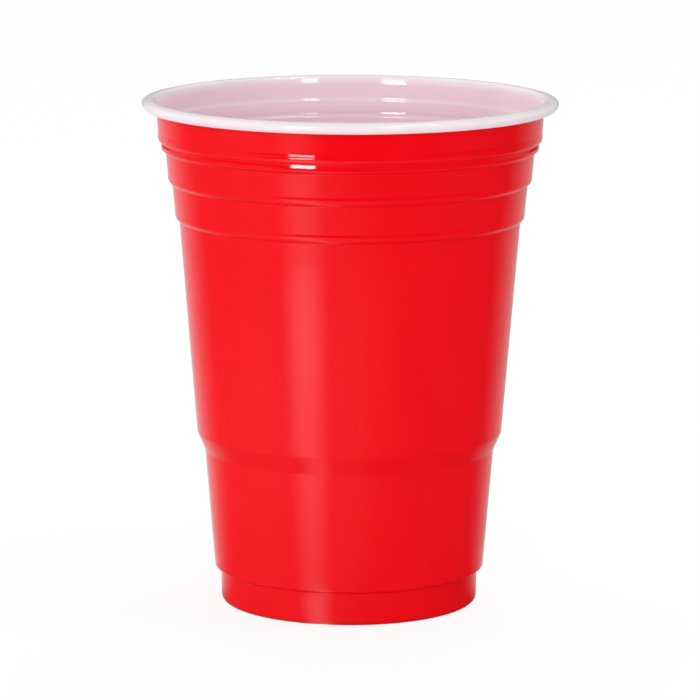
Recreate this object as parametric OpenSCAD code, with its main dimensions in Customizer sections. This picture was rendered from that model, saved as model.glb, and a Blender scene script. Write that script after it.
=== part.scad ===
// Plastic party cup, formed in one piece from a thin sheet that is red on its
// outer face and white on its inner face.
// The cup is one turned section. It follows the red face from the middle of
// the floor, round the foot, up the stepped side and over into the rolled rim,
// and the white face lies one sheet thickness to its left all the way.

/* [Overall] */
// Height from the table to the top of the rolled rim
cup_h = 116.5; // [108:0.5:130]
// Diameter over the rolled rim
rim_d = 95; // [92:0.5:99]
// Diameter of the foot, just under the ledge above it
foot_d = 59.2; // [56:0.2:62]

/* [Sheet] */
// Thickness of the drawn side wall
wall_t = 0.3; // [0.25:0.01:0.45]
// Thickness of the rim, where the sheet is drawn least
rim_t = 0.4; // [0.34:0.01:0.5]
// Thickness of the floor
floor_t = 0.42; // [0.3:0.01:0.6]

/* [Rolled rim] */
// Height of the roll
roll_h = 2.5; // [2.3:0.1:3.6]
// Width of the roll, from the inside of the mouth to its outer edge
roll_w = 3.5; // [3.2:0.1:4.4]
// How far the roll's top falls towards its outer edge
roll_fall = 0.3; // [0.05:0.05:0.5]
// How far the roll's underside is set in from its outer edge
roll_in = 0.8; // [0.2:0.05:1]
// Bend radius of the roll, on the hidden red face of the sheet
roll_r = 0.9; // [0.5:0.05:1.2]
// Gap between the wall and the edge that is tucked up beside it
tuck_gap = 0.3; // [0.15:0.05:0.5]
// Height of the tucked edge
tuck_h = 1.0; // [0.8:0.1:1.2]

/* [Rim band] */
// Height from the top of the rim to the lower corner of the rim band
rim_band_h = 9.3; // [8:0.1:12]
// Lean of the rim band from upright, in degrees
rim_band_lean = 4.2; // [2:0.1:6]
// How far the rim band swells outwards above its lower corner
swell = 0.12; // [0.02:0.01:0.2]
// Height of the fullest part of the swell above that corner
swell_z = 0.7; // [0.5:0.1:1.5]
// Height of the slope that leads out to the swell
swell_h = 1.2; // [0.6:0.1:1.5]
// Bend radius at both ends of that slope
swell_r = 1.2; // [0.5:0.1:1.5]
// Height of the foot of the step on the white face, above the swell's slope
step_z = 1.4; // [0.7:0.1:2]
// Height of that step
step_h = 0.8; // [0.5:0.1:1.2]
// How much thicker the sheet is at the foot of that step
step_t = 0.16; // [0.04:0.02:0.2]

/* [Stacking ring] */
// Height of the stacking ring under the rim band
ring_h = 1.7; // [1.4:0.1:3]
// How far the ring bulges out past the crease above it
ring_bulge = 0.15; // [0.1:0.05:0.5]
// Step in from the rim band to the ring
rim_band_ledge = 0.6; // [0.5:0.05:0.9]
// Step in from the ring to the upper grip band
ring_ledge = 1.0; // [0.7:0.05:1.3]

/* [Grip bands] */
// Height of the upper grip band
upper_band_h = 6.9; // [5:0.1:10]
// Height of the lower grip band
lower_band_h = 8.0; // [5:0.1:12]
// Lean of the grip bands from upright, in degrees
band_lean = 5.5; // [2:0.1:7]
// Step in below each grip band
band_ledge = 0.84; // [0.6:0.01:1.1]
// Slope of every ledge, in degrees up towards the outside
ledge_slope = 30; // [15:1:40]
// Radius of every band's lower corner
corner_r = 0.6; // [0.4:0.05:1.5]
// Radius of the crease under every ledge
crease_r = 0.3; // [0.1:0.05:0.5]

/* [Waist] */
// Height of the waist's lower edge above the table
waist_z = 35.6; // [25:0.5:50]
// Height of the waist
waist_h = 4.1; // [3:0.1:8]
// How far the side steps out over the waist
waist_step = 1.8; // [1:0.05:2.5]
// Bend radius at both edges of the waist
waist_r = 2; // [1:0.1:4]

/* [Foot and floor] */
// Height of the body's lower corner above the table
foot_h = 8.3; // [7:0.1:12]
// Step in from the body to the foot
foot_ledge = 1.36; // [0.9:0.01:1.6]
// Lean of the foot from upright, in degrees
foot_lean = 1.5; // [0:0.5:5]
// Bend radius where the foot turns under
foot_r = 1.4; // [0.8:0.1:2.2]
// Width of the ring that the cup stands on
land_w = 3.6; // [3:0.1:4.5]
// Slope of the foot's inner side, in degrees
land_slope = 62; // [45:1:80]
// Height of the floor's underside above the table
floor_z = 3; // [2:0.1:4]
// Radius of the bends in the floor
floor_bend_r = 1.2; // [0.7:0.1:1.5]
// Diameter of the stiffening step in the floor
dome_d = 34; // [20:1:44]
// How far the middle of the floor is raised inside that step
dome_h = 0.6; // [0.3:0.05:1]

/* [Hidden] */
// Facets round the cup, and degrees turned by each facet of a bend
$fn = 96;
bend_step = 18;

// Outside of the mouth's wall, and the roll's edge, on the red face
mouth_r = rim_d / 2 - roll_w + rim_t;
roll_out = rim_d / 2 - rim_t;
roll_top = cup_h - rim_t;
roll_low = cup_h - roll_h + rim_t;
roll_mid = (roll_top - roll_fall + roll_low) / 2;
tuck_r = mouth_r + tuck_gap + rim_t;

// Lower corners of the four bands and the creases under them, from the top
rim_corner = [mouth_r - (rim_band_h - rim_t) * tan(rim_band_lean), cup_h - rim_band_h];
ring_top = under_ledge(rim_corner, rim_band_ledge);
ring_corner = ring_top - [0, ring_h];
upper_top = under_ledge(ring_corner, ring_ledge);
upper_corner = band_foot(upper_top, upper_band_h);
lower_top = under_ledge(upper_corner, band_ledge);
lower_corner = band_foot(lower_top, lower_band_h);
wall_top = under_ledge(lower_corner, band_ledge);

// The side below the bands has one slope, broken by the waist
body_corner = [foot_d / 2 + foot_ledge, foot_h];
side_rise = wall_top.y - foot_h - waist_h;
side_slope = (wall_top.x - waist_step - body_corner.x) / side_rise;
waist_low = [body_corner.x + side_slope * (waist_z - foot_h), waist_z];
waist_top = waist_low + [waist_step, waist_h];

// The foot, the ring that it stands on, and the floor inside that ring
foot_top = under_ledge(body_corner, foot_ledge);
foot_low_r = foot_top.x - foot_top.y * tan(foot_lean);
land_r = foot_low_r - land_w;
floor_r = land_r - floor_z / tan(land_slope);
dome_r = dome_d / 2;

// Heights of the swell's slope and of the step's foot, above that corner
swell_top = swell_z + swell_h;
step_foot = swell_top + step_z;

// A place on the rim band, from its height above the lower corner
function on_rim_band(height) = rim_corner + height * [tan(rim_band_lean), 1];

// The place under a ledge, from the corner above it
function under_ledge(corner, ledge) = corner - ledge * [1, tan(ledge_slope)];

// The lower corner of a leaning grip band, from its top
function band_foot(top, height) = top - height * [tan(band_lean), 1];

// The red face as stations of [radius, height, bend radius, thickness].
// The step in the floor slopes at 45 degrees.
floor_path = [
    [0, floor_z + dome_h, 0, floor_t],
    [dome_r - dome_h, floor_z + dome_h, floor_bend_r, floor_t],
    [dome_r, floor_z, floor_bend_r, floor_t],
    [floor_r, floor_z, floor_bend_r, floor_t],
    [land_r, 0, floor_bend_r, wall_t],
];
side_path = [
    [foot_low_r, 0, foot_r, wall_t],
    [each foot_top, crease_r, wall_t],
    [each body_corner, corner_r, wall_t],
    [each waist_low, waist_r, wall_t],
    [each waist_top, waist_r, wall_t],
];
band_path = [
    [each wall_top, crease_r, wall_t],
    [each lower_corner, corner_r, wall_t],
    [each lower_top, crease_r, wall_t],
    [each upper_corner, corner_r, wall_t],
    [each upper_top, crease_r, wall_t],
    [each ring_corner, corner_r, wall_t],
    [ring_top.x, ring_top.y - ring_h / 2, corner_r, wall_t],
    [ring_top.x - ring_bulge, ring_top.y, crease_r, wall_t],
];
rim_path = [
    [each rim_corner, corner_r, wall_t],
    [each on_rim_band(swell_z) + [swell, 0], swell_r, wall_t],
    [each on_rim_band(swell_top), swell_r, wall_t + step_t / 2],
    [each on_rim_band(step_foot), 0, wall_t + step_t],
    [each on_rim_band(step_foot + step_h / 4), 0, wall_t + step_t * 0.9],
    [each on_rim_band(step_foot + step_h * 3 / 4), 0, wall_t + step_t * 0.1],
    [each on_rim_band(step_foot + step_h), 0, wall_t],
    [mouth_r, roll_top, roll_r, rim_t],
    [(mouth_r + roll_out) / 2, roll_top, roll_r, rim_t],
    [roll_out, roll_top - roll_fall, roll_r, rim_t],
    [roll_out, roll_mid, roll_r, rim_t],
    [roll_out - roll_in, roll_low, roll_r, rim_t],
    [tuck_r, roll_low, roll_r, rim_t],
    [tuck_r, roll_low + tuck_h, 0, rim_t],
];
stations = concat(floor_path, side_path, band_path, rim_path);

// Direction of travel between two stations, and the turn at the middle one
function heading(a, b) = atan2(b.y - a.y, b.x - a.x);
function turn(a, b, c) =
    let (t = heading(b, c) - heading(a, b))
    t > 180 ? t - 360 : t < -180 ? t + 360 : t;

// Bends at the two ends of a straight share it in proportion to their radii
function room(near, far) =
    norm([far.x - near.x, far.y - near.y]) * near.z / (near.z + far.z);

// One bend, as a run of [radius, height, heading, thickness], or a single
// place where the sheet runs straight on and only its thickness changes
function bend(a, b, c) =
    let (
        into = heading(a, b),
        angle = turn(a, b, c),
        half = tan(abs(angle) / 2),
        radius = min(b.z, room(b, a) / half, room(b, c) / half),
        start = [b.x, b.y] - radius * half * [cos(into), sin(into)],
        centre = start + sign(angle) * radius * [-sin(into), cos(into)],
        steps = ceil(abs(angle) / bend_step)
    )
    b.z == 0 ? [[b.x, b.y, into, b[3]]] :
    [
        for (i = [0 : steps])
            let (h = into + angle * i / steps)
                [each centre + sign(angle) * radius * [sin(h), -cos(h)], h, b[3]]
    ];

// The whole red face, with every bend rounded
function rounded(path) =
    let (last = len(path) - 1)
    concat(
        [[path[0].x, path[0].y, heading(path[0], path[1]), path[0][3]]],
        [for (i = [1 : last - 1]) each bend(path[i - 1], path[i], path[i + 1])],
        [[path[last].x, path[last].y, heading(path[last - 1], path[last]), path[last][3]]]
    );

// The sheet between its red face and its white face
module sheet_section(path) {
    red = rounded(path);
    white = [for (p = red) [p.x, p.y] + p[3] * [-sin(p.z), cos(p.z)]];
    polygon(concat(
        [for (p = red) [p.x, p.y]],
        [for (i = [len(white) - 1 : -1 : 0]) white[i]]
    ));
}

// The cup: foot, floor, side, bands and rolled rim in one sheet
module cup() {
    color("#f0161f")
        rotate_extrude()
            sheet_section(stations);
}

cup();
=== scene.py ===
"""Dresses the plastic party cup and sets it in a plain white studio.

The cup is one formed sheet, red on its outer face and white on its inner face.
The red face is walked as one wire from the middle of the floor to the edge
that is tucked under the rolled rim, the wire is spun round the cup's axis, and
the sheet then gets its thickness towards the white side. All lengths are in
metres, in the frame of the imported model.
"""

import logging
import math
from dataclasses import dataclass
from enum import Enum
from typing import ClassVar

import bmesh
import bpy
from mathutils import Euler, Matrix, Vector


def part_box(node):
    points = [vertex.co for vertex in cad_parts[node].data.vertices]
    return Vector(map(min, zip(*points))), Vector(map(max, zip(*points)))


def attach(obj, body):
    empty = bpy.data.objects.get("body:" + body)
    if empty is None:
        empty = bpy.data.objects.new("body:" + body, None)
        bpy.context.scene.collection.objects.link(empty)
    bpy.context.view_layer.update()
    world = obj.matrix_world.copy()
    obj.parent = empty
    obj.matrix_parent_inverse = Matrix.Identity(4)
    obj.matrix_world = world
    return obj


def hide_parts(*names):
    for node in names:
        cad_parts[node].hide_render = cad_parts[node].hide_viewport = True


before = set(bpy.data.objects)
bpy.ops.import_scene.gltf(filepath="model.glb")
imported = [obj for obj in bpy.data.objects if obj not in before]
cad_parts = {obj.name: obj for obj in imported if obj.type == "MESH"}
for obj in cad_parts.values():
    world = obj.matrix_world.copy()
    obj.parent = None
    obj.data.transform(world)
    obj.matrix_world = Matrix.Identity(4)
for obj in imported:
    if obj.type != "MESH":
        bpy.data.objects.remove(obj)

MM = 0.001
WELD = 1e-7

log = logging.getLogger("party_cup")


class Face(Enum):
    """The two faces of the sheet, by their material slot."""

    RED = 0
    WHITE = 1


@dataclass(frozen=True)
class Station:
    """A corner of the red face in the plane of the section, before it is rounded."""

    radius: float
    height: float
    bend: float
    thickness: float

    @property
    def place(self) -> Vector:
        """The corner as a point in the XZ plane."""
        return Vector((self.radius, 0.0, self.height))


def under_ledge(corner: Vector, ledge: float, slope: float) -> Vector:
    """Finds the place under a ledge.

    Args:
        corner: The corner above the ledge.
        ledge: How far the sheet steps in.
        slope: The ledge's slope in degrees, up towards the outside.

    Returns:
        The inner, lower end of the ledge.
    """
    return corner - ledge * Vector((1.0, 0.0, math.tan(math.radians(slope))))


def leaning(start: Vector, height: float, lean: float) -> Vector:
    """Follows a leaning wall.

    Args:
        start: Where the wall starts.
        height: How far it rises, or falls if it is less than nothing.
        lean: How far the wall leans outwards from upright, in degrees.

    Returns:
        The wall's other end.
    """
    return start + height * Vector((math.tan(math.radians(lean)), 0.0, 1.0))


@dataclass
class RolledRim:
    """The rim band and the edge that is rolled outwards above it.

    STEP is the small step on the white face: shares of its height, and of the
    sheet's extra thickness there. SWELL is the flat in the middle of the swell's
    slope: shares of its height and of the swell.
    """

    STEP: ClassVar[tuple[tuple[float, float], ...]] = ((0.0, 1.0), (0.25, 0.9), (0.75, 0.1), (1.0, 0.0))
    SWELL: ClassVar[tuple[tuple[float, float], ...]] = ((0.38, 0.5), (0.62, 0.5))
    top: float
    outer_r: float
    sheet: float = 0.4 * MM
    band_sheet: float = 0.3 * MM
    roll_h: float = 2.5 * MM
    roll_w: float = 3.5 * MM
    roll_fall: float = 0.3 * MM
    roll_in: float = 0.8 * MM
    roll_bend: float = 0.9 * MM
    tuck_gap: float = 0.3 * MM
    tuck_h: float = 1.0 * MM
    band_h: float = 9.3 * MM
    band_lean: float = 4.2
    swell: float = 0.12 * MM
    swell_z: float = 0.7 * MM
    swell_h: float = 1.2 * MM
    swell_bend: float = 1.2 * MM
    ripple_bend: float = 0.3 * MM
    ripple_t: float = 0.02 * MM
    flare_h: float = 1.4 * MM
    flare: float = 0.28 * MM
    flare_bend: float = 1.5 * MM
    step_z: float = 1.4 * MM
    step_h: float = 0.8 * MM
    step_t: float = 0.16 * MM
    corner_bend: float = 0.6 * MM

    @property
    def mouth_r(self) -> float:
        """Radius of the red face where the wall meets the roll."""
        return self.outer_r - self.roll_w + self.sheet

    @property
    def corner(self) -> Vector:
        """The lower corner of the rim band."""
        lean = math.tan(math.radians(self.band_lean))
        return Vector((self.mouth_r - (self.band_h - self.sheet) * lean, 0.0, self.top - self.band_h))

    def stations(self) -> list[Station]:
        """Lists the corners of the red face from the rim band to the tucked edge.

        Returns:
            The stations, in the order of travel.
        """
        crest = self.top - self.sheet
        low = self.top - self.roll_h + self.sheet
        edge = self.outer_r - self.sheet
        shoulder = crest - self.roll_fall
        tuck_r = self.mouth_r + self.tuck_gap + self.sheet
        fullest = leaning(self.corner, self.swell_z, self.band_lean)
        swell_top = self.swell_z + self.swell_h
        above = leaning(self.corner, swell_top, self.band_lean)
        full = self.band_sheet + self.swell
        path = [
            Station(self.corner.x, self.corner.z, self.corner_bend, full),
            Station(fullest.x + self.swell, fullest.z, self.swell_bend, full),
        ]
        for up, out in self.SWELL:
            place = leaning(self.corner, self.swell_z + up * self.swell_h, self.band_lean)
            path.append(Station(place.x + out * self.swell, place.z, self.ripple_bend, full + self.ripple_t))
        path.append(Station(above.x, above.z, self.swell_bend, full + self.ripple_t))
        for up, extra in self.STEP:
            place = leaning(self.corner, swell_top + self.step_z + up * self.step_h, self.band_lean)
            path.append(Station(place.x, place.z, 0.0, self.band_sheet + extra * self.step_t))
        neck = leaning(Vector((self.mouth_r, 0.0, crest)), -self.flare_h, self.band_lean)
        path.append(Station(neck.x, neck.z, self.flare_bend, self.sheet))
        roll = [
            (self.mouth_r + self.flare, crest),
            ((self.mouth_r + edge) / 2 + self.flare / 2, crest),
            (edge, shoulder),
            (edge, (shoulder + low) / 2),
            (edge - self.roll_in, low),
            (tuck_r, low),
        ]
        path += [Station(r, z, self.roll_bend, self.sheet) for r, z in roll]
        path.append(Station(tuck_r, low + self.tuck_h, 0.0, self.sheet))
        return path


@dataclass
class GripBands:
    """The stacking ring and the two grip bands under the rim band.

    Each grip band swells slightly above its lower corner.
    """

    rim_corner: Vector
    sheet: float = 0.3 * MM
    rim_ledge: float = 0.6 * MM
    ring_h: float = 1.7 * MM
    ring_bulge: float = 0.15 * MM
    ring_ledge: float = 1.0 * MM
    upper_h: float = 6.9 * MM
    lower_h: float = 8.0 * MM
    lean: float = 5.5
    ledge: float = 0.84 * MM
    slope: float = 30.0
    ring_bend: float = 0.6 * MM
    corner_bend: float = 1.6 * MM
    crease_bend: float = 0.3 * MM
    swell: float = 0.055 * MM
    swell_z: float = 1.1 * MM
    swell_h: float = 0.5 * MM
    swell_bend: float = 0.6 * MM

    def places(self) -> dict[str, Vector]:
        """Works out the corners and creases from the rim band downwards.

        Returns:
            The places by name.
        """
        ring_top = under_ledge(self.rim_corner, self.rim_ledge, self.slope)
        ring_corner = ring_top - Vector((0.0, 0.0, self.ring_h))
        upper_top = under_ledge(ring_corner, self.ring_ledge, self.slope)
        upper_corner = leaning(upper_top, -self.upper_h, self.lean)
        lower_top = under_ledge(upper_corner, self.ledge, self.slope)
        lower_corner = leaning(lower_top, -self.lower_h, self.lean)
        wall_top = under_ledge(lower_corner, self.ledge, self.slope)
        return {
            "wall_top": wall_top,
            "lower_corner": lower_corner,
            "lower_top": lower_top,
            "upper_corner": upper_corner,
            "upper_top": upper_top,
            "ring_corner": ring_corner,
            "ring_side": ring_top - Vector((0.0, 0.0, self.ring_h / 2)),
            "ring_crease": ring_top - Vector((self.ring_bulge, 0.0, 0.0)),
        }

    def stations(self) -> list[Station]:
        """Lists the corners of the red face from the lowest crease to the ring.

        Returns:
            The stations, in the order of travel.
        """
        path: list[Station] = []
        for name, place in self.places().items():
            if name in ("upper_corner", "lower_corner"):
                path += self._swollen(place)
            else:
                bend = self.ring_bend if name in ("ring_corner", "ring_side") else self.crease_bend
                path.append(Station(place.x, place.z, bend, self.sheet))
        return path

    def _swollen(self, corner: Vector) -> list[Station]:
        """Swells a band slightly just above its lower corner.

        Args:
            corner: The band's lower corner.

        Returns:
            The corner and the two ends of the slope above it.
        """
        out = Vector((self.swell, 0.0, 0.0))
        fullest = leaning(corner, self.swell_z, self.lean) + out
        above = leaning(corner, self.swell_z + self.swell_h, self.lean)
        corner = corner + out
        return [
            Station(corner.x, corner.z, self.corner_bend, self.sheet),
            Station(fullest.x, fullest.z, self.swell_bend, self.sheet),
            Station(above.x, above.z, self.swell_bend, self.sheet),
        ]


@dataclass
class SteppedSide:
    """The sloping side between the foot and the grip bands, with its waist."""

    body_corner: Vector
    wall_top: Vector
    sheet: float = 0.3 * MM
    waist_z: float = 35.6 * MM
    waist_h: float = 4.1 * MM
    waist_step: float = 1.8 * MM
    waist_bend: float = 2.0 * MM
    corner_bend: float = 0.6 * MM

    def stations(self) -> list[Station]:
        """Lists the corners of the red face from the body's corner to the waist.

        Returns:
            The stations, in the order of travel.
        """
        rise = self.wall_top.z - self.body_corner.z - self.waist_h
        slope = (self.wall_top.x - self.waist_step - self.body_corner.x) / rise
        low_r = self.body_corner.x + slope * (self.waist_z - self.body_corner.z)
        return [
            Station(self.body_corner.x, self.body_corner.z, self.corner_bend, self.sheet),
            Station(low_r, self.waist_z, self.waist_bend, self.sheet),
            Station(low_r + self.waist_step, self.waist_z + self.waist_h, self.waist_bend, self.sheet),
        ]


@dataclass
class FootAndFloor:
    """The foot, the ring that the cup stands on, and the raised floor inside it."""

    foot_r: float = 59.2 * MM / 2
    sheet: float = 0.3 * MM
    floor_sheet: float = 0.42 * MM
    foot_h: float = 8.3 * MM
    ledge: float = 1.36 * MM
    slope: float = 30.0
    lean: float = 1.5
    foot_bend: float = 1.4 * MM
    crease_bend: float = 0.3 * MM
    land_w: float = 3.6 * MM
    land_slope: float = 62.0
    floor_z: float = 3.0 * MM
    floor_bend: float = 1.2 * MM
    dome_r: float = 17.0 * MM
    dome_h: float = 0.6 * MM

    @property
    def body_corner(self) -> Vector:
        """The lower corner of the body, above the foot."""
        return Vector((self.foot_r + self.ledge, 0.0, self.foot_h))

    def stations(self) -> list[Station]:
        """Lists the corners of the red face from the floor's middle to the foot's crease.

        Returns:
            The stations, in the order of travel.
        """
        crease = under_ledge(self.body_corner, self.ledge, self.slope)
        low_r = leaning(crease, -crease.z, self.lean).x
        land_r = low_r - self.land_w
        floor_r = land_r - self.floor_z / math.tan(math.radians(self.land_slope))
        dome_z = self.floor_z + self.dome_h
        return [
            Station(0.0, dome_z, 0.0, self.floor_sheet),
            Station(self.dome_r - self.dome_h, dome_z, self.floor_bend, self.floor_sheet),
            Station(self.dome_r, self.floor_z, self.floor_bend, self.floor_sheet),
            Station(floor_r, self.floor_z, self.floor_bend, self.floor_sheet),
            Station(land_r, 0.0, self.floor_bend, self.sheet),
            Station(low_r, 0.0, self.foot_bend, self.sheet),
            Station(crease.x, crease.z, self.crease_bend, self.sheet),
        ]


@dataclass
class SheetWire:
    """Walks the stations as one wire of straights and round bends."""

    stations: list[Station]
    bend_step: float = 9.0
    straight_step: float = 3.0 * MM

    def build(self) -> bmesh.types.BMesh:
        """Draws the wire in the XZ plane and keeps the sheet's thickness of each vertex.

        Returns:
            A mesh that holds only the wire.
        """
        bm = bmesh.new()
        own = bm.verts.layers.float.new("sheet")
        tip = bm.verts.new(self.stations[0].place)
        tip[own] = self.stations[0].thickness
        for before, here, after in zip(self.stations, self.stations[1:], self.stations[2:]):
            tip = self._bend(bm, tip, before, here, after)
        last = self.stations[-1]
        self._straight(bm, tip, last.place, last.thickness)
        return bm

    def _straight(
        self, bm: bmesh.types.BMesh, tip: bmesh.types.BMVert, end: Vector, thickness: float
    ) -> bmesh.types.BMVert:
        """Runs the wire straight on, in steps of equal length.

        Args:
            bm: The mesh that holds the wire.
            tip: The wire's last vertex.
            end: Where the straight ends.
            thickness: The sheet's thickness there.

        Returns:
            The wire's new last vertex.
        """
        own = bm.verts.layers.float["sheet"]
        run = end - tip.co
        if run.length < WELD:
            return tip
        steps = max(1, math.ceil(run.length / self.straight_step))
        growth = (thickness - tip[own]) / steps
        for _ in range(steps):
            so_far = tip[own]
            tip = bmesh.ops.extrude_vert_indiv(bm, verts=[tip])["verts"][0]
            tip[own] = so_far + growth
            bmesh.ops.translate(bm, verts=[tip], vec=run / steps)
        return tip

    def _bend(
        self,
        bm: bmesh.types.BMesh,
        tip: bmesh.types.BMVert,
        before: Station,
        here: Station,
        after: Station,
    ) -> bmesh.types.BMVert:
        """Runs the wire up to a station and round the bend there, if it has one.

        Args:
            bm: The mesh that holds the wire.
            tip: The wire's last vertex.
            before: The station before the bend.
            here: The station at the bend.
            after: The station after the bend.

        Returns:
            The wire's new last vertex.
        """
        if here.bend == 0.0:
            return self._straight(bm, tip, here.place, here.thickness)
        way_in = (here.place - before.place).normalized()
        way_out = (after.place - here.place).normalized()
        turn = way_in.angle(way_out)
        half = math.tan(turn / 2)
        radius = min(here.bend, self._room(here, before) / half, self._room(here, after) / half)
        tip = self._straight(bm, tip, here.place - radius * half * way_in, here.thickness)
        axis = way_in.cross(way_out).normalized()
        centre = tip.co + radius * axis.cross(way_in)
        steps = math.ceil(math.degrees(turn) / self.bend_step)
        arc = bmesh.ops.spin(
            bm, geom=[tip], cent=centre, axis=axis, dvec=Vector(), angle=turn, steps=steps,
            use_merge=False, use_duplicate=False,
        )
        return next(g for g in arc["geom_last"] if isinstance(g, bmesh.types.BMVert))

    @staticmethod
    def _room(near: Station, far: Station) -> float:
        """Shares a straight between the bends at its two ends, by their radii."""
        return (far.place - near.place).length * near.bend / (near.bend + far.bend)


class Shader:
    """Adds nodes to one tree, and joins them as it goes."""

    def __init__(self, name: str) -> None:
        """Starts a material with an empty tree."""
        self.material = bpy.data.materials.new(name)
        self.material.use_nodes = True
        self.tree = self.material.node_tree
        self.tree.nodes.clear()

    @classmethod
    def on_tree(cls, tree: bpy.types.NodeTree) -> "Shader":
        """Starts on a tree that is there already, such as the world's, and empties it."""
        shader = cls.__new__(cls)
        shader.material = None
        shader.tree = tree
        tree.nodes.clear()
        return shader

    def add(self, kind: str, settings: dict | None = None, **inputs: object) -> bpy.types.Node:
        """Adds a node.

        Args:
            kind: The node's type, without its ShaderNode prefix.
            settings: The node's own settings by name.
            inputs: Values or other nodes' sockets, by the input's name with _ for a space.

        Returns:
            The new node.
        """
        node = self.tree.nodes.new("ShaderNode" + kind)
        for name, value in (settings or {}).items():
            setattr(node, name, value)
        for name, value in inputs.items():
            self.join(node.inputs[name.replace("_", " ")], value)
        return node

    def join(self, socket: bpy.types.NodeSocket, value: object) -> None:
        """Links a socket, or sets the input's own value if it isn't one."""
        if isinstance(value, bpy.types.NodeSocket):
            self.tree.links.new(value, socket)
        else:
            socket.default_value = value

    def math(self, operation: str, first: object, second: object = 0.0) -> bpy.types.NodeSocket:
        """Adds a Math node on two values and returns its result."""
        node = self.add("Math", {"operation": operation})
        self.join(node.inputs[0], first)
        self.join(node.inputs[1], second)
        return node.outputs[0]

    def product(self, first: object, *others: object) -> bpy.types.NodeSocket:
        """Multiplies two or more values together and returns the result."""
        result = first
        for other in others:
            result = self.math("MULTIPLY", result, other)
        return result

    def ramp(
        self, value: object, low: float, high: float, start: float = 0.0, end: float = 1.0
    ) -> bpy.types.NodeSocket:
        """Maps a value smoothly from one range to another.

        Args:
            value: The socket to read.
            low: The value at which the result is start.
            high: The value at which the result is end.
            start: The result at low.
            end: The result at high.

        Returns:
            The mapped value.
        """
        node = self.add("MapRange", {"interpolation_type": "SMOOTHSTEP"})
        names = ("Value", "From Min", "From Max", "To Min", "To Max")
        for name, number in zip(names, (value, low, high, start, end)):
            self.join(node.inputs[name], number)
        return node.outputs["Result"]

    def mix(self, factor: object, first: object, second: object) -> bpy.types.NodeSocket:
        """Mixes two colours and returns the result."""
        node = self.add("Mix", {"data_type": "RGBA"})
        for socket, value in zip((node.inputs[0], node.inputs[6], node.inputs[7]), (factor, first, second)):
            self.join(socket, value)
        return node.outputs[2]

    def by_ray(
        self, camera: bpy.types.Node, glossy: bpy.types.Node, other: bpy.types.Node
    ) -> bpy.types.NodeSocket:
        """Chooses among three shaders by the kind of ray that arrives.

        Args:
            camera: What the camera sees.
            glossy: What the gloss sees.
            other: What lights everything else.

        Returns:
            The chosen shader.
        """
        rays = self.add("LightPath")
        bounced = self.add("MixShader", Fac=rays.outputs["Is Glossy Ray"])
        self.join(bounced.inputs[1], other.outputs[0])
        self.join(bounced.inputs[2], glossy.outputs[0])
        result = self.add("MixShader", Fac=rays.outputs["Is Camera Ray"])
        self.join(result.inputs[1], bounced.outputs[0])
        self.join(result.inputs[2], camera.outputs[0])
        return result.outputs[0]


@dataclass(frozen=True)
class Noise:
    """The settings of one noise."""

    scale: float
    detail: float = 2.0
    roughness: float = 0.5

    def at(self, shader: Shader, place: bpy.types.NodeSocket) -> bpy.types.NodeSocket:
        """Adds the noise at a place and returns its value."""
        node = shader.add(
            "TexNoise", Vector=place, Scale=self.scale, Detail=self.detail, Roughness=self.roughness
        )
        return node.outputs["Fac"]


@dataclass(frozen=True)
class Fade:
    """A smooth change from one value to another, between two places."""

    low: float
    high: float
    start: float = 0.0
    end: float = 1.0

    def at(self, shader: Shader, place: object) -> bpy.types.NodeSocket:
        """Adds the change along a place and returns its value."""
        return shader.ramp(place, self.low, self.high, self.start, self.end)


@dataclass(frozen=True)
class SheetFinish:
    """The gloss finish that both faces of the sheet share.

    The sheet is drawn down from its rim, so its faint lines run up the side:
    they are noise on the direction round the axis, which closes on itself.
    """

    name: str
    roughness: float
    ior: float = 1.52
    draw_lines: Noise = Noise(60.0, 3.0, 0.6)
    draw_stretch: float = 9.0
    draw_depth: float = 0.012
    skin: Noise = Noise(420.0)
    skin_depth: float = 0.02
    bump_height: float = 0.02 * MM
    patches: Noise = Noise(2.5)
    patch_range: tuple[float, float] = (0.3, 0.7)
    tint_change: float = 0.03
    gloss_change: float = 0.02

    def around(self, shader: Shader) -> bpy.types.NodeSocket:
        """Returns the place as its direction round the axis, with its height stretched out."""
        place = shader.add("TexCoord").outputs["Object"]
        parts = shader.add("SeparateXYZ", Vector=place)
        flat = shader.add("CombineXYZ", X=parts.outputs["X"], Y=parts.outputs["Y"], Z=0.0)
        unit = shader.add("VectorMath", {"operation": "NORMALIZE"})
        shader.join(unit.inputs[0], flat.outputs[0])
        turned = shader.add("SeparateXYZ", Vector=unit.outputs[0])
        height = shader.math("MULTIPLY", parts.outputs["Z"], self.draw_stretch)
        return shader.add("CombineXYZ", X=turned.outputs["X"], Y=turned.outputs["Y"], Z=height).outputs[0]

    def surface(self, shader: Shader, colour: object) -> bpy.types.Material:
        """Finishes the tree with the gloss, the faint relief and the output.

        Args:
            shader: The tree so far.
            colour: The base colour as a value or a socket.

        Returns:
            The finished material.
        """
        around = self.around(shader)
        place = shader.add("TexCoord").outputs["Object"]
        lines = shader.product(self.draw_lines.at(shader, around), self.draw_depth / self.skin_depth)
        relief = shader.math("ADD", lines, self.skin.at(shader, place))
        bump = shader.add("Bump", Height=relief, Strength=self.skin_depth, Distance=self.bump_height)
        patches = self.patches.at(shader, around)
        dullest, glossiest = self.roughness + self.gloss_change, self.roughness - self.gloss_change
        gloss = shader.ramp(patches, *self.patch_range, glossiest, dullest)
        tint = shader.ramp(patches, *self.patch_range, 1.0 - self.tint_change, 1.0)
        value = shader.add("HueSaturation", Value=tint, Color=colour)
        skin_shader = shader.add(
            "BsdfPrincipled",
            Base_Color=value.outputs["Color"],
            Roughness=gloss,
            IOR=self.ior,
            Normal=bump.outputs["Normal"],
        )
        shader.add("OutputMaterial", Surface=skin_shader.outputs["BSDF"])
        return shader.material


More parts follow.
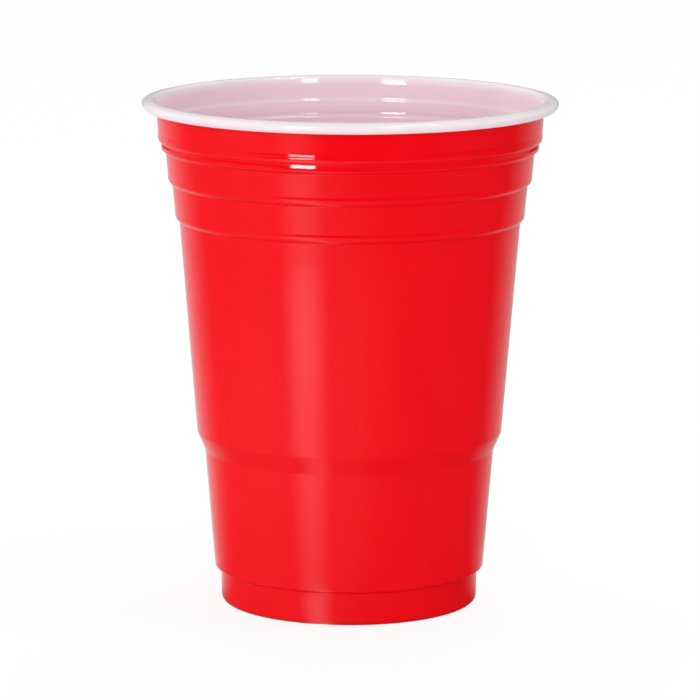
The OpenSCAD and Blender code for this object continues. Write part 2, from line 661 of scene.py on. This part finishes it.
@dataclass(frozen=True)
class RedFace(SheetFinish):
    """The red outer face, of one colour all over."""

    name: str = "red_face"
    roughness: float = 0.07
    colour: tuple[float, float, float, float] = (0.92, 0.0020, 0.0075, 1.0)

    def material(self) -> bpy.types.Material:
        """Builds the material of the red face."""
        shader = Shader(self.name)
        return self.surface(shader, self.colour)


@dataclass(frozen=True)
class WhiteFace(SheetFinish):
    """The white inner face, which shows the red through it where the sheet is drawn.

    The rim's colour comes in with the height and with the radius. At the height of
    the small step it also comes in partly, as a painted light band. Round the rim
    band's lower corner the face is painted pinker and darker, as painted shade
    against the light that the ledge catches there. These two fade with the distance from their heights.
    """

    name: str = "white_face"
    roughness: float = 0.07
    rim_colour: tuple[float, float, float, float] = (0.93, 0.84, 0.88, 1.0)
    drawn_colour: tuple[float, float, float, float] = (0.91, 0.705, 0.77, 1.0)
    # painted shade: the pinker, darker white laid round the rim band's lower corner
    corner_shade_colour: tuple[float, float, float, float] = (0.82, 0.56, 0.62, 1.0)
    rim_by_height: Fade = Fade(114.2 * MM, 116.2 * MM)
    rim_by_radius: Fade = Fade(44.4 * MM, 45.2 * MM)
    # height of a painted light band along the small step, and its fade
    step_z: float = 110.9 * MM
    step: Fade = Fade(0.0, 0.9 * MM, 0.6, 0.0)
    # height of the painted shade round the rim band's lower corner, and its fade
    corner_shade_z: float = 107.6 * MM
    corner: Fade = Fade(0.0, 0.9 * MM, 0.7, 0.0)

    def material(self) -> bpy.types.Material:
        """Builds the material of the white face, whitest on the rolled rim, with a painted light band at the
        step and painted shade at the rim band's lower corner.
        """
        shader = Shader(self.name)
        place = shader.add("SeparateXYZ", Vector=shader.add("TexCoord").outputs["Object"])
        flat = shader.add("CombineXYZ", X=place.outputs["X"], Y=place.outputs["Y"], Z=0.0)
        away = shader.add("VectorMath", {"operation": "LENGTH"})
        shader.join(away.inputs[0], flat.outputs[0])
        height = place.outputs["Z"]
        top = self.rim_by_height.at(shader, height)
        roll = self.rim_by_radius.at(shader, away.outputs["Value"])
        # Painted light: a whiter band along the small step, in the rim's colour at up to 0.6.
        from_step = shader.math("ABSOLUTE", shader.math("SUBTRACT", height, self.step_z))
        step = self.step.at(shader, from_step)
        white = shader.math("MAXIMUM", shader.math("MAXIMUM", top, roll), step)
        # Painted shade: pinker and darker round the rim band's lower corner, against the light its ledge
        # catches.
        from_corner = shader.math("ABSOLUTE", shader.math("SUBTRACT", height, self.corner_shade_z))
        corner_shade = self.corner.at(shader, from_corner)
        drawn = shader.mix(corner_shade, self.drawn_colour, self.corner_shade_colour)
        return self.surface(shader, shader.mix(white, drawn, self.rim_colour))


@dataclass
class CupSheet:
    """The whole cup: one sheet from the middle of the floor to the tucked edge."""

    top: float
    rim_r: float
    around: int = 192
    name: str = "cup_sheet"

    def stations(self) -> list[Station]:
        """Joins the stations of the foot, the side, the bands and the rim.

        Returns:
            Every corner of the red face, from the floor's middle to the tucked edge.
        """
        rim = RolledRim(top=self.top, outer_r=self.rim_r)
        bands = GripBands(rim_corner=rim.corner)
        foot = FootAndFloor()
        side = SteppedSide(body_corner=foot.body_corner, wall_top=bands.places()["wall_top"])
        return foot.stations() + side.stations() + bands.stations() + rim.stations()

    def build(self) -> bpy.types.Object:
        """Spins the wire into the red face and gives the sheet its thickness.

        Returns:
            The piece, before it is dressed.
        """
        bm = SheetWire(self.stations()).build()
        bmesh.ops.spin(
            bm, geom=bm.verts[:] + bm.edges[:], cent=Vector(), axis=Vector((0, 0, 1)), dvec=Vector(),
            angle=math.tau, steps=self.around, use_merge=True, use_duplicate=False,
        )
        bmesh.ops.remove_doubles(bm, verts=bm.verts[:], dist=WELD)
        bmesh.ops.recalc_face_normals(bm, faces=bm.faces[:])
        lowest = min(bm.faces, key=lambda face: face.calc_center_median().z)
        if lowest.normal.z > 0:
            bmesh.ops.reverse_faces(bm, faces=bm.faces[:])
        thickness = [vert[bm.verts.layers.float["sheet"]] for vert in bm.verts]
        mesh = bpy.data.meshes.new(self.name)
        bm.to_mesh(mesh)
        bm.free()
        mesh.shade_smooth()
        piece = bpy.data.objects.new(self.name, mesh)
        bpy.context.scene.collection.objects.link(piece)
        self._thicken(piece, thickness)
        return piece

    def _thicken(self, piece: bpy.types.Object, thickness: list[float]) -> None:
        """Adds the modifiers that give the sheet its thickness and even shading.

        Args:
            piece: The red face.
            thickness: The sheet's thickness at each vertex.
        """
        thickest = max(thickness)
        group = piece.vertex_groups.new(name="sheet")
        for size in sorted(set(thickness)):
            verts = [i for i, t in enumerate(thickness) if t == size]
            group.add(verts, size / thickest, "REPLACE")
        solid = piece.modifiers.new("sheet_thickness", "SOLIDIFY")
        solid.thickness = thickest
        solid.offset = -1.0
        solid.vertex_group = group.name
        solid.use_even_offset = True
        solid.material_offset = Face.WHITE.value
        solid.material_offset_rim = Face.WHITE.value
        piece.modifiers.new("even_shading", "WEIGHTED_NORMAL").keep_sharp = True

    def dress(self, piece: bpy.types.Object) -> None:
        """Gives the two faces their finishes and ties the piece to the frame.

        Args:
            piece: The finished sheet.
        """
        finishes = {Face.RED: RedFace(), Face.WHITE: WhiteFace()}
        for face in Face:
            piece.data.materials.append(finishes[face].material())
        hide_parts("cup")
        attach(piece, "root")


@dataclass
class Camera:
    """The camera of the photograph, which looks down on the cup from the front."""

    distance: float = 1.057
    height: float = 0.2446
    pitch: float = 10.0
    roll: float = 0.17
    shift_px: float = 0.45
    focal_px: float = 4669.1
    frame_px: float = 700.0
    sensor: float = 36.0

    def build(self) -> bpy.types.Object:
        """Sets the scene's camera.

        Returns:
            The camera object.
        """
        data = bpy.data.cameras.new("camera")
        data.sensor_width = self.sensor
        data.lens = self.focal_px / self.frame_px * self.sensor
        data.shift_x = self.shift_px / self.frame_px
        camera = bpy.data.objects.new("camera", data)
        camera.location = (0.0, -self.distance, self.height)
        aim = Euler((math.radians(90.0 - self.pitch), 0.0, 0.0)).to_matrix()
        lean = Euler((0.0, 0.0, math.radians(self.roll))).to_matrix()
        camera.rotation_euler = (aim @ lean).to_euler()
        bpy.context.scene.collection.objects.link(camera)
        bpy.context.scene.camera = camera
        return camera


def square_board(name: str, size: float) -> bpy.types.Object:
    """Lays a flat square board at the origin.

    Args:
        name: The board's name.
        size: The length of its sides.

    Returns:
        The board, in the scene.
    """
    bm = bmesh.new()
    bmesh.ops.create_grid(bm, x_segments=1, y_segments=1, size=size / 2)
    mesh = bpy.data.meshes.new(name)
    bm.to_mesh(mesh)
    bm.free()
    board = bpy.data.objects.new(name, mesh)
    bpy.context.scene.collection.objects.link(board)
    return board


@dataclass
class LightPanel:
    """A tall soft light that faces the cup and is seen only in its gloss.

    EDGE is how far the edges of the board it is made from lie from its middle,
    before the board is scaled.
    """

    EDGE: ClassVar[float] = 0.5
    name: str
    azimuth: float
    distance: float
    low: float
    high: float
    width: float
    strength: float
    side_fade: float = 0.3
    end_fade: float = 0.2

    def build(self) -> bpy.types.Object:
        """Stands the panel up, facing the cup's axis.

        Returns:
            The panel, which is part of the stage.
        """
        panel = square_board(self.name, 2 * self.EDGE)
        angle = math.radians(self.azimuth)
        middle = (self.low + self.high) / 2
        panel.location = (self.distance * math.sin(angle), -self.distance * math.cos(angle), middle)
        panel.rotation_euler = (math.radians(90.0), 0.0, angle)
        panel.scale = (self.width, self.high - self.low, 1.0)
        panel.visible_camera = False
        panel.visible_diffuse = False
        panel.visible_shadow = False
        panel.data.materials.append(self.material())
        return panel

    def material(self) -> bpy.types.Material:
        """Builds the glow, which fades towards the panel's sides and ends."""
        shader = Shader(self.name + "_glow")
        place = shader.add("SeparateXYZ", Vector=shader.add("TexCoord").outputs["Object"])
        across = shader.math("ABSOLUTE", place.outputs["X"])
        along = shader.math("ABSOLUTE", place.outputs["Y"])
        side = shader.ramp(across, self.EDGE - self.side_fade, self.EDGE, 1.0, 0.0)
        end = shader.ramp(along, self.EDGE - self.end_fade, self.EDGE, 1.0, 0.0)
        light = shader.add("Emission", Strength=shader.product(side, end, self.strength))
        shader.add("OutputMaterial", Surface=light.outputs[0])
        return shader.material


@dataclass
class TableGloss:
    """What the cup's gloss sees of the table: a lit board with one bright pool.

    The board's light and shade are painted: it is lit from the left, dims close to
    the foot and far away, and its far edge lies askew. The pool is a painted pool of
    the tall light, in its direction from the cup. The rear is what the cup's two sides see behind it.
    """

    mirror_y: float = 0.018
    board_side: Fade = Fade(-0.35, 0.70, 0.32, 0.09)
    board_back: Fade = Fade(-0.5, 0.3, 1.0, 0.6)
    # painted shade on the board close to the foot
    board_foot: Fade = Fade(0.015, 0.125, 0.60, 1.0)
    board_far: Fade = Fade(0.18, 0.32, 1.0, 0.75)
    edge_azimuth: float = 20.0
    board_edge: Fade = Fade(0.24, 0.40, 1.0, 0.0)
    rear_side: Fade = Fade(-0.3, 0.3, 0.50, 0.42)
    rear_back: Fade = Fade(0.35, 0.90)
    rear_rim: Fade = Fade(0.96, 1.0, 1.0, 2.0)
    rear_near: Fade = Fade(0.04, 0.10, 1.5, 1.0)
    rear_far: Fade = Fade(0.9, 1.6, 1.0, 0.0)
    pool_azimuth: float = -31.6
    pool_reach: float = 20.0
    pool_power: float = 2.5
    pool_light: float = 0.86
    pool_foot: Fade = Fade(0.030, 0.042, 2.0, 1.0)
    pool_rise: Fade = Fade(0.10, 0.26, 1.0, 1.6)
    pool_fall: Fade = Fade(0.268, 0.286, 1.0, 0.6)
    pool_end: Fade = Fade(0.33, 0.40, 1.0, 0.4)

    def light(self, shader: Shader, place: bpy.types.NodeSocket) -> bpy.types.NodeSocket:
        """Works out the light at each place of the table.

        Args:
            shader: The tree to add to.
            place: The place on the table, from the foot of the cup's axis. The
                round side mirrors it as if from a point in front of that axis.

        Returns:
            The light's strength.
        """
        seen = shader.add("VectorMath", {"operation": "ADD"})
        shader.join(seen.inputs[0], place)
        shader.join(seen.inputs[1], (0.0, self.mirror_y, 0.0))
        place = seen.outputs[0]
        away = shader.add("VectorMath", {"operation": "LENGTH"})
        shader.join(away.inputs[0], place)
        far = away.outputs["Value"]
        unit = shader.add("VectorMath", {"operation": "NORMALIZE"})
        shader.join(unit.inputs[0], place)
        way = shader.add("SeparateXYZ", Vector=unit.outputs[0])
        right, back = way.outputs["X"], way.outputs["Y"]
        sides = shader.product(self.board_side.at(shader, right), self.board_back.at(shader, back))
        reach = self.along(shader, place, self.edge_azimuth)
        front = shader.product(
            shader.math("ADD", sides, self.pool(shader, unit.outputs[0], far)),
            self.board_foot.at(shader, far),
            self.board_far.at(shader, far),
            self.board_edge.at(shader, reach),
        )
        rear = shader.product(
            self.rear_side.at(shader, right),
            self.rear_back.at(shader, back),
            self.rear_rim.at(shader, back),
            self.rear_near.at(shader, far),
            self.rear_far.at(shader, far),
        )
        return shader.math("ADD", front, rear)

    @staticmethod
    def along(shader: Shader, place: bpy.types.NodeSocket, azimuth: float) -> bpy.types.NodeSocket:
        """Measures how far a place lies in one direction.

        Args:
            shader: The tree to add to.
            place: The place as a vector.
            azimuth: The direction in degrees, from the front towards the right.

        Returns:
            The distance in that direction.
        """
        angle = math.radians(azimuth)
        aim = shader.add("VectorMath", {"operation": "DOT_PRODUCT"})
        shader.join(aim.inputs[0], place)
        shader.join(aim.inputs[1], (math.sin(angle), -math.cos(angle), 0.0))
        return aim.outputs["Value"]

    def pool(
        self, shader: Shader, unit: bpy.types.NodeSocket, far: bpy.types.NodeSocket
    ) -> bpy.types.NodeSocket:
        """Adds the painted pool of the tall light, brightest along its middle.

        Args:
            shader: The tree to add to.
            unit: The place's direction from the cup.
            far: The place's distance from the cup.

        Returns:
            The pool's strength.
        """
        narrow = math.cos(math.radians(self.pool_reach))
        aim = self.along(shader, unit, self.pool_azimuth)
        share = shader.math("DIVIDE", shader.math("SUBTRACT", aim, narrow), 1.0 - narrow)
        share = shader.math("POWER", shader.math("MAXIMUM", share, 0.0), self.pool_power)
        fades = (self.pool_foot, self.pool_rise, self.pool_fall, self.pool_end)
        return shader.product(share, self.pool_light, *(fade.at(shader, far) for fade in fades))


@dataclass
class Studio:
    """The plain white room: table, surroundings and soft lights.

    The fill is a plain level with soft lights round the cup. Each has an azimuth
    from the front towards the right, a power that narrows it, and a strength.
    What the gloss sees of the surroundings is dark in front and glows behind.
    """

    WHITE: ClassVar[tuple[float, float, float, float]] = (1.0, 1.0, 1.0, 1.0)
    FILL_LIGHTS: ClassVar[tuple[tuple[float, float, float], ...]] = (
        (-14.0, 7.0, 3.5),
        (-108.0, 8.0, 2.7),
        (108.0, 8.0, 0.6),
        (180.0, 3.0, 3.8),
    )

    floor_size: float = 8.0
    floor_glow: float = 0.86
    floor_shade: float = 0.14
    floor_bounce: float = 0.84
    fill: float = 0.38
    behind: Fade = Fade(-0.1, 0.6, 0.016, 0.28)
    lamp_place: tuple[float, float, float] = (0.45, -0.20, 1.2)
    lamp_size: float = 0.35
    lamp_energy: float = 3.2

    def build(self) -> None:
        """Builds the floor, the surroundings and the lights."""
        self.build_floor()
        self.build_world()
        LightPanel(
            "strip_light", azimuth=-28.0, distance=1.0, low=-0.2, high=0.75, width=0.28, strength=20.0,
            side_fade=0.10, end_fade=0.5,
        ).build()
        LightPanel(
            "right_light", azimuth=26.0, distance=1.0, low=0.35, high=1.1, width=0.22, strength=8.0,
            side_fade=0.2, end_fade=0.3,
        ).build()
        self.build_top_light()

    def build_floor(self) -> bpy.types.Object:
        """Lays the floor that the cup stands on.

        Returns:
            The floor, which is part of the stage.
        """
        floor = square_board("floor", self.floor_size)
        floor.data.materials.append(self.floor_material())
        return floor

    def floor_material(self) -> bpy.types.Material:
        """Builds the floor: white with a soft shadow to the camera, a board of painted light and shade in
        the gloss.
        """
        shader = Shader("floor_white")
        place = shader.add("TexCoord").outputs["Object"]
        shown = shader.add("Emission", Strength=self.floor_glow)
        shade = shader.add("BsdfDiffuse", Color=(self.floor_shade,) * 3 + (1.0,))
        white = shader.add("AddShader")
        shader.join(white.inputs[0], shown.outputs[0])
        shader.join(white.inputs[1], shade.outputs[0])
        # painted light and shade of the table, which only the gloss sees
        seen = shader.add("Emission", Strength=TableGloss().light(shader, place))
        plain = shader.add("BsdfDiffuse", Color=(self.floor_bounce,) * 3 + (1.0,))
        shader.add("OutputMaterial", Surface=shader.by_ray(white, seen, plain))
        return shader.material

    def build_world(self) -> None:
        """Makes the surroundings white to the camera, a soft fill to the sheet, dim in its gloss."""
        world = bpy.data.worlds.new("studio")
        bpy.context.scene.world = world
        world.use_nodes = True
        shader = Shader.on_tree(world.node_tree)
        way = shader.add("TexCoord").outputs["Generated"]
        parts = shader.add("SeparateXYZ", Vector=way)
        level = self.fill
        for azimuth, power, strength in self.FILL_LIGHTS:
            aim = shader.math("MAXIMUM", TableGloss.along(shader, way, azimuth), 0.0)
            light = shader.product(shader.math("POWER", aim, power), strength)
            level = shader.math("ADD", light, level)
        fill = shader.add("Background", Color=self.WHITE, Strength=level)
        behind = self.behind.at(shader, parts.outputs["Y"])
        seen = shader.add("Background", Color=self.WHITE, Strength=behind)
        white = shader.add("Background", Color=self.WHITE, Strength=1.0)
        shader.add("OutputWorld", Surface=shader.by_ray(white, seen, fill))

    def build_top_light(self) -> bpy.types.Object:
        """Hangs a soft lamp high on the right.

        Returns:
            The lamp.
        """
        data = bpy.data.lights.new("top_light", "AREA")
        data.shape = "SQUARE"
        data.size = self.lamp_size
        data.energy = self.lamp_energy
        lamp = bpy.data.objects.new("top_light", data)
        lamp.location = self.lamp_place
        lamp.rotation_euler = (-lamp.location).to_track_quat("-Z", "Y").to_euler()
        lamp.visible_camera = False
        bpy.context.scene.collection.objects.link(lamp)
        return lamp


def main() -> None:
    """Builds the camera, the cup and the studio, and reports each piece."""
    logging.basicConfig(level=logging.INFO, format="%(message)s")
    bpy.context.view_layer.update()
    bpy.context.scene.view_settings.view_transform = "Standard"
    Camera().build()
    low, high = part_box("cup")
    sheet = CupSheet(top=high.z, rim_r=min(high.x, high.y, -low.x, -low.y))
    piece = sheet.build()
    sheet.dress(piece)
    log.info("%s: %d faces before its thickness", piece.name, len(piece.data.polygons))
    Studio().build()


if __name__ == "__main__":
    main()
